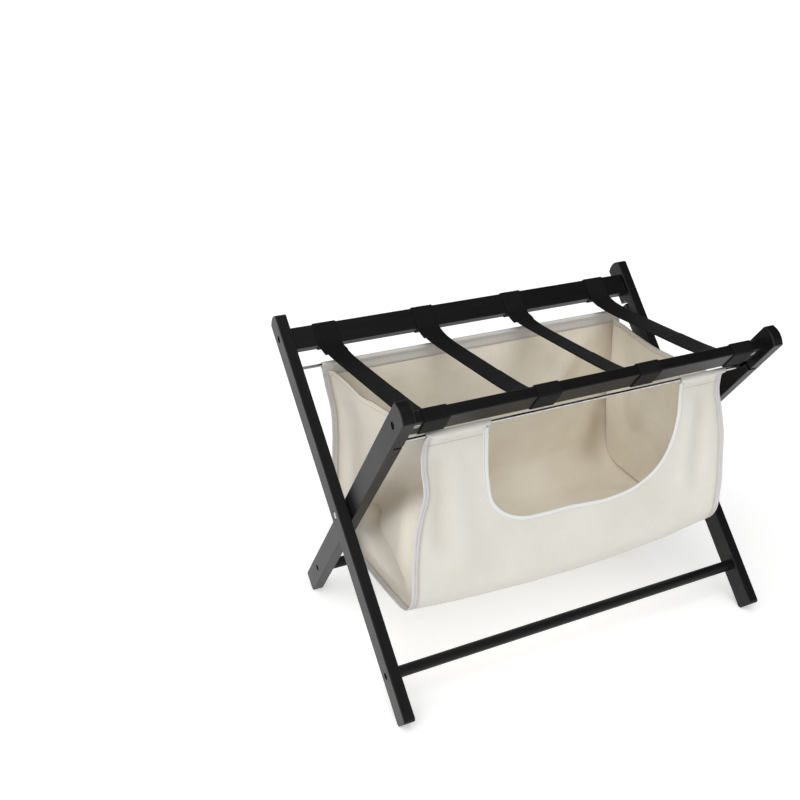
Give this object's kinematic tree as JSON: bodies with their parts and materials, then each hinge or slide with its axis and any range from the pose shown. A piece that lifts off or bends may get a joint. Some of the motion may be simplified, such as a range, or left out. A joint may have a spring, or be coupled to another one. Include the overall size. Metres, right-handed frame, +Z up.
{
  "type": "folding luggage rack",
  "caption": "Folding scissor-frame luggage rack in black wood with webbing straps and a canvas bag hung between the frames on steel rods.",
  "frame": {"origin": "on the floor, under the middle of the rack", "axes": "+X along the rails, +Y to the back, +Z up"},
  "size_m": [0.66, 0.4594, 0.5062],
  "materials": {
    "black_wood": "satin black paint over wood grain",
    "webbing": "black polypropylene webbing",
    "canvas": "natural off-white canvas",
    "binding": "white folded binding tape",
    "chrome_rod": "bright chrome",
    "black_steel": "black oxide",
    "zinc_steel": "bright zinc",
    "nylon": "black nylon",
    "raw_wood": "bare beech"
  },
  "bodies": {
    "outer_frame": {"back_bag_rod": "chrome_rod", "back_rail": "black_wood", "back_rail_barrel_nuts": "zinc_steel", "back_rail_bolts": "black_steel", "back_rail_pins": "raw_wood", "bag_back_hem": "canvas", "front_stretcher": "black_wood", "front_stretcher_bolts": "black_steel", "front_stretcher_inserts": "zinc_steel", "outer_leg_left": "black_wood", "outer_leg_right": "black_wood", "pivot_screws": "zinc_steel", "pivot_sleeve_nuts": "zinc_steel", "pivot_washers": "nylon", "strap_1_back_loop": "webbing", "strap_2_back_loop": "webbing", "strap_3_back_loop": "webbing", "strap_4_back_loop": "webbing"},
    "inner_frame": {"back_stretcher": "black_wood", "back_stretcher_bolts": "black_steel", "back_stretcher_inserts": "zinc_steel", "bag_front_hem_left": "canvas", "bag_front_hem_right": "canvas", "front_bag_rod": "chrome_rod", "front_rail": "black_wood", "front_rail_barrel_nuts": "zinc_steel", "front_rail_bolts": "black_steel", "front_rail_pins": "raw_wood", "inner_leg_left": "black_wood", "inner_leg_right": "black_wood", "strap_1_front_loop": "webbing", "strap_2_front_loop": "webbing", "strap_3_front_loop": "webbing", "strap_4_front_loop": "webbing"},
    "straps_back": {"strap_1_back_half": "webbing", "strap_2_back_half": "webbing", "strap_3_back_half": "webbing", "strap_4_back_half": "webbing"},
    "straps_front": {"strap_1_front_half": "webbing", "strap_2_front_half": "webbing", "strap_3_front_half": "webbing", "strap_4_front_half": "webbing"},
    "bag": {"bag_back_panel": "canvas", "bag_bottom_panel": "canvas", "bag_front_panel": "canvas", "bag_opening_binding": "binding", "bag_side_left": "canvas", "bag_side_right": "canvas"}
  },
  "joints": [
    {"name": "fold", "type": "hinge", "parent": "outer_frame", "child": "inner_frame", "pos_m": [0, 0, 0.25258], "axis": [-1, 0, 0], "range_deg": [0, 77.4], "deforming": ["strap_1_back_half", "strap_2_back_half", "strap_3_back_half", "strap_4_back_half", "strap_1_front_half", "strap_2_front_half", "strap_3_front_half", "strap_4_front_half"]},
    {"name": "straps_back_drop", "type": "hinge", "parent": "outer_frame", "child": "straps_back", "pos_m": [0, 0.17351, 0.45897], "axis": [1, 0, 0], "range_deg": [0, 49.5]},
    {"name": "straps_front_drop", "type": "hinge", "parent": "inner_frame", "child": "straps_front", "pos_m": [0, -0.17351, 0.45897], "axis": [-1, 0, 0], "range_deg": [0, 49.5]},
    {"name": "bag_swing", "type": "hinge", "parent": "outer_frame", "child": "bag", "pos_m": [0, 0.16257, 0.42997], "axis": [-1, 0, 0], "range_deg": [0, 38.9]}
  ],
  "couplings": [
    {"joint": "straps_back_drop", "follows": "fold", "ratio": 0.63695},
    {"joint": "straps_front_drop", "follows": "fold", "ratio": 0.63695},
    {"joint": "bag_swing", "follows": "fold", "ratio": 0.5}
  ]
}
